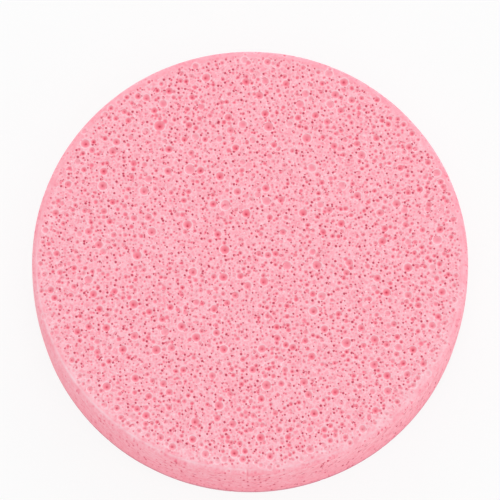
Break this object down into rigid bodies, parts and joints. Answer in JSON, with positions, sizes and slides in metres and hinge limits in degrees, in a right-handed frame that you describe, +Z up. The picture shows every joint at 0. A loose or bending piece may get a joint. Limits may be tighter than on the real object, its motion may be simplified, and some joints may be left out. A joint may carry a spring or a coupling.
{
  "type": "facial cleansing sponge",
  "caption": "Round facial cleansing sponge: a flat disc of soft pink open-cell foam with softly rounded edges and bubble cells open on both faces.",
  "frame": {"origin": "centre of the base face, the face that the sponge lies on", "axes": "+Z up through the thickness, towards the other face; X and Y lie in the base face"},
  "size_m": [0.08, 0.08, 0.018],
  "materials": {
    "foam": "matt open-cell foam, pink"
  },
  "bodies": {
    "root": {"sponge_disc": "foam"}
  },
  "joints": []
}
